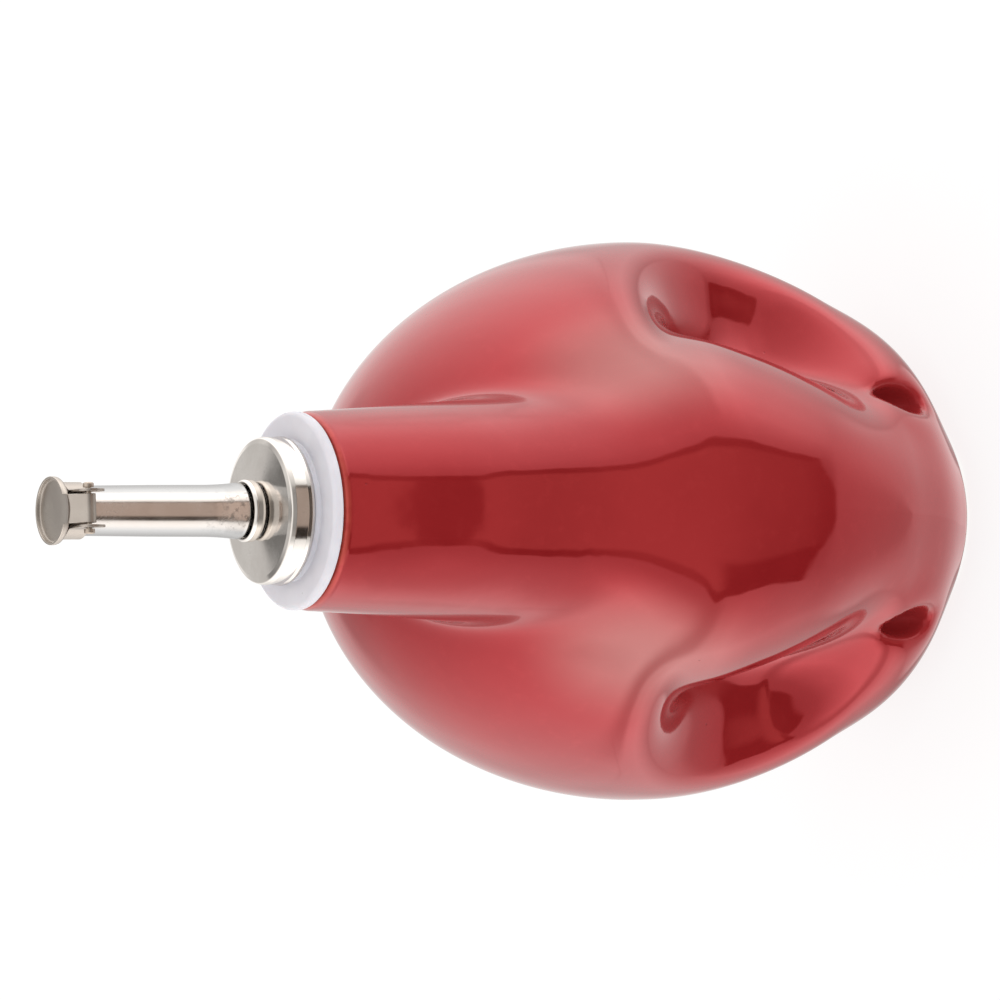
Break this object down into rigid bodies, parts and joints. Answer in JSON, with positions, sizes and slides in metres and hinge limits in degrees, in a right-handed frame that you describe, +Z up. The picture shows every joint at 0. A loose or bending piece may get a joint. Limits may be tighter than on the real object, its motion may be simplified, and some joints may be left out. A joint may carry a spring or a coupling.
{
  "type": "oil cruet",
  "caption": "Glazed ceramic oil cruet: rounded belly, neck at the front, finger recesses in the flanks, and a lift-out steel pourer with a hinged flap lid.",
  "frame": {"origin": "on the ground under the centre of the bounding box, 1.75 mm in front of the belly axis", "axes": "+Z up along the neck, -Y towards the neck side, X across the finger recesses"},
  "size_m": [0.1034, 0.1048, 0.1874],
  "materials": {
    "red_glaze": "opaque glossy red glaze on stoneware",
    "white_silicone": "soft white silicone",
    "polished_steel": "polished stainless steel",
    "satin_steel": "satin stainless steel"
  },
  "bodies": {
    "bottle": {"ceramic_body": "red_glaze"},
    "stopper": {"stopper_plug": "white_silicone", "air_vent_tube": "satin_steel"},
    "spout": {"spout_tube": "polished_steel", "retaining_ring": "satin_steel", "spout_cap": "polished_steel", "spout_collar": "polished_steel", "hinge_clip": "satin_steel", "hinge_pin": "satin_steel"},
    "lid": {"flap_lid": "satin_steel"}
  },
  "joints": [
    {"name": "stopper_lift", "type": "slide", "parent": "bottle", "child": "stopper", "axis": [0, 0, 1], "range_m": [0, 0.06]},
    {"name": "spout_swivel", "type": "hinge", "parent": "stopper", "child": "spout", "pos_m": [0, -0.02625, 0.145], "axis": [0, 0, 1], "continuous": true},
    {"name": "lid_hinge", "type": "hinge", "parent": "spout", "child": "lid", "pos_m": [0, -0.0334, 0.18335], "axis": [1, 0, 0], "range_deg": [0, 110]}
  ]
}
